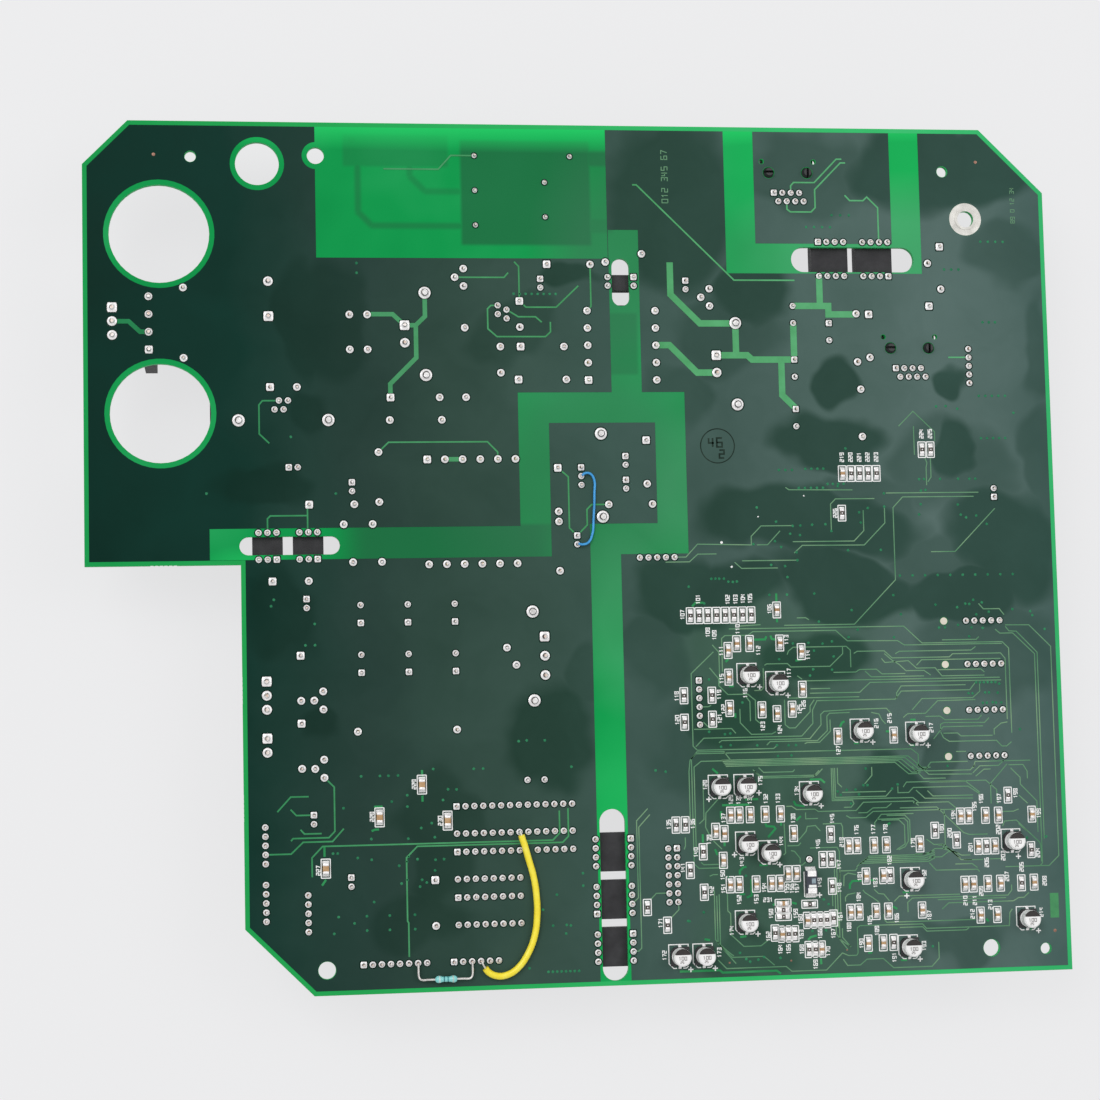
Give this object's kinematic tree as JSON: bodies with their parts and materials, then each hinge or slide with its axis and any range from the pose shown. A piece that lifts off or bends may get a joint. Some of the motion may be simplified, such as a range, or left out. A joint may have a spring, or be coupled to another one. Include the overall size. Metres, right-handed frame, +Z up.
{
  "type": "display control board",
  "caption": "Populated printed circuit board lying solder side up on its heat sinks and capacitors, with a notched outline, clearance holes and isolation slots.",
  "frame": {"origin": "centre of the board's bounding rectangle, at the feet of the tallest parts under it", "axes": "+X along the board's long side, +Z up out of the solder side"},
  "size_m": [0.282, 0.2484, 0.0325],
  "materials": {
    "laminate": "satin solder mask on glass laminate",
    "masked_copper": "copper under solder mask",
    "track": "copper under solder mask",
    "solder": "bright tin",
    "sleeve": "printed film sleeve",
    "film_case": "moulded case",
    "lacquer": "dipped lacquer",
    "epoxy_grey": "moulded",
    "epoxy_black": "moulded",
    "resistor_body": "lacquered",
    "anodised": "black anodised",
    "can_metal": "bright drawn can",
    "case_metal": "nickel plated",
    "bobbin": "taped winding on a moulded bobbin",
    "ferrite": "ground ferrite",
    "nylon": "moulded nylon",
    "chip_ceramic": "fired ceramic",
    "chip_dark": "fired ceramic with dark glaze",
    "tantalum_case": "moulded",
    "patch_body": "lacquered",
    "wire_cover": "extruded insulation",
    "fine_cover": "extruded insulation"
  },
  "bodies": {
    "root": {"circuit_board": "laminate", "copper_planes": "masked_copper", "copper_tracks": "track", "tinned_land": "solder", "solder_joints": "solder", "square_joints": "solder", "main_capacitor": "sleeve", "filter_capacitors": "sleeve", "output_capacitors": "sleeve", "small_capacitors": "sleeve", "film_capacitors": "film_case", "disc_capacitors": "lacquer", "bridge_rectifier": "epoxy_grey", "power_resistors": "resistor_body", "axial_resistors": "resistor_body", "axial_diodes": "epoxy_black", "small_diodes": "epoxy_black", "choke": "bobbin", "crystal": "case_metal", "small_transistors": "epoxy_black", "input_heatsink": "anodised", "left_heatsink": "anodised", "middle_heatsink": "anodised", "right_heatsink": "anodised", "lower_heatsink": "anodised", "input_switch": "epoxy_black", "control_switch": "epoxy_black", "left_rectifier": "epoxy_black", "right_rectifier": "epoxy_black", "regulator": "epoxy_black", "power_transistor": "epoxy_black", "main_bobbin": "bobbin", "main_core": "ferrite", "small_bobbin": "bobbin", "small_core": "ferrite", "relay": "epoxy_black", "microcontroller": "epoxy_black", "logic_circuits": "epoxy_black", "left_optos": "epoxy_black", "small_opto": "epoxy_black", "upper_optos": "epoxy_black", "lower_optos": "epoxy_black", "resistor_networks": "resistor_body", "pin_headers": "epoxy_black", "power_headers": "nylon", "side_headers": "nylon", "upper_jack": "epoxy_black", "lower_jack": "epoxy_black", "can_bases": "epoxy_black", "can_capacitors": "can_metal", "chip_capacitors": "chip_ceramic", "chip_resistors": "chip_dark", "chip_ends": "solder", "tantalum_capacitor": "tantalum_case", "patch_resistor": "patch_body", "jumper_wire": "wire_cover", "fine_wire": "fine_cover"}
  },
  "joints": []
}
